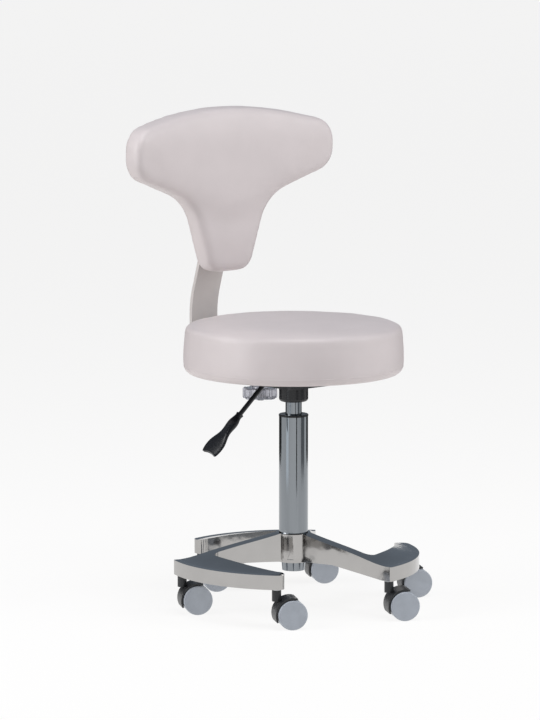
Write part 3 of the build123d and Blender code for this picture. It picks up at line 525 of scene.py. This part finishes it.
def reflector(name, side, distance, width, brightness):
    """An upright card that shows only in reflections; side is as for area_light."""
    azimuth = math.radians(CAMERA_AZIMUTH + side)
    outward = Vector((math.sin(azimuth), -math.cos(azimuth), 0))
    across = Vector((-outward.y, outward.x, 0)) * width / 2
    foot = outward * distance
    up = Vector((0, 0, CARD_HEIGHT))
    corners = [foot - across, foot + across, foot + across + up, foot - across + up]
    mesh = bpy.data.meshes.new(name)
    mesh.from_pydata(corners, [], [(0, 1, 2, 3)])
    card = bpy.data.objects.new(name, mesh)
    scene.collection.objects.link(card)
    t = Tree(name, (0.02, 0.02, 0.02), 1.0)
    t.set(Specular_IOR_Level=0.0, Emission_Strength=brightness, Emission_Color=(0.9, 0.95, 1.0, 1))
    mesh.materials.append(t.material)
    card.visible_camera = False
    card.visible_diffuse = False
    card.visible_transmission = False
    card.visible_shadow = False


def make_floor():
    """Pale glowing floor with a low far wall; its glow is painted light, a pool brightest along the line of
    the camera and greyer to either side.
    """
    bm = bmesh.new()
    turns = [2 * math.pi * i / FLOOR_SEGMENTS for i in range(FLOOR_SEGMENTS)]
    centre = bm.verts.new((0, 0, 0))
    rows = [[bm.verts.new((radius * math.cos(a), radius * math.sin(a), z)) for a in turns]
            for radius, z in FLOOR_RINGS]
    for i in range(FLOOR_SEGMENTS):
        after = (i + 1) % FLOOR_SEGMENTS
        bm.faces.new((centre, rows[0][i], rows[0][after]))
        for inner, outer in zip(rows, rows[1:]):
            bm.faces.new((inner[i], outer[i], outer[after], inner[after]))
    mesh = bpy.data.meshes.new("floor")
    bm.to_mesh(mesh)
    bm.free()
    for polygon in mesh.polygons:
        polygon.use_smooth = True
    floor = bpy.data.objects.new("floor", mesh)
    scene.collection.objects.link(floor)
    t = Tree("floor_glow_light_pool", (0.12, 0.12, 0.12), 0.9)
    # painted light: the floor glows though it is no lamp, its emission fading from the bright pool to grey
    # aside
    t.set(Specular_IOR_Level=0.0, Emission_Strength=1.0)
    turn = t.nodes.new("ShaderNodeMapping")
    turn.inputs["Rotation"].default_value = (0, 0, -math.radians(CAMERA_AZIMUTH))
    t.links.new(t.coords.outputs["Object"], turn.inputs["Vector"])
    split = t.nodes.new("ShaderNodeSeparateXYZ")
    t.links.new(turn.outputs["Vector"], split.inputs["Vector"])
    aside = t.nodes.new("ShaderNodeMath")
    aside.operation = "ABSOLUTE"
    t.links.new(split.outputs["X"], aside.inputs[0])
    side = t.nodes.new("ShaderNodeMath")
    side.operation = "MULTIPLY_ADD"
    side.inputs[1].default_value = -LIGHT_POOL_WIDENS
    t.links.new(split.outputs["Y"], side.inputs[0])
    t.links.new(aside.outputs["Value"], side.inputs[2])
    glow = t.nodes.new("ShaderNodeMix")
    glow.data_type = "RGBA"
    glow.inputs["A"].default_value = LIGHT_POOL_GLOW
    glow.inputs["B"].default_value = GLOW_ASIDE_DIMMED
    edge = t.spread(side.outputs["Value"], 0, 1, LIGHT_POOL_HALF_WIDTH, LIGHT_POOL_FADED_AT)
    t.links.new(edge, glow.inputs["Factor"])
    t.links.new(glow.outputs["Result"], t.shader.inputs["Emission Color"])
    mesh.materials.append(t.material)


def make_world():
    """A dim blue-grey room above the lights, which the metal's top faces reflect."""
    world = bpy.data.worlds.new("studio")
    world.use_nodes = True
    background = world.node_tree.nodes["Background"]
    background.inputs["Color"].default_value = (0.16, 0.19, 0.23, 1)
    background.inputs["Strength"].default_value = 1.0
    scene.world = world


scene.view_settings.view_transform = "Standard"
make_camera()
make_world()
make_floor()
area_light("key_left", side=-70, elevation=24, distance=3.2, size=(1.4, 2.4), power=62)
area_light("key_right", side=78, elevation=22, distance=3.2, size=(1.4, 2.4), power=46)
area_light("top", side=20, elevation=72, distance=3.4, size=(1.8, 1.8), power=62)
reflector("card_left_dark", side=-135, distance=1.5, width=1.5, brightness=0.02)
reflector("card_left_bright", side=-50, distance=1.3, width=0.42, brightness=1.5)
reflector("card_stripe", side=27, distance=1.2, width=0.2, brightness=0.01)
reflector("card_right_grey", side=75, distance=1.4, width=0.8, brightness=0.22)
reflector("card_right_dark", side=140, distance=1.5, width=1.2, brightness=0.02)

dress_cad()
make_seat()
make_back()
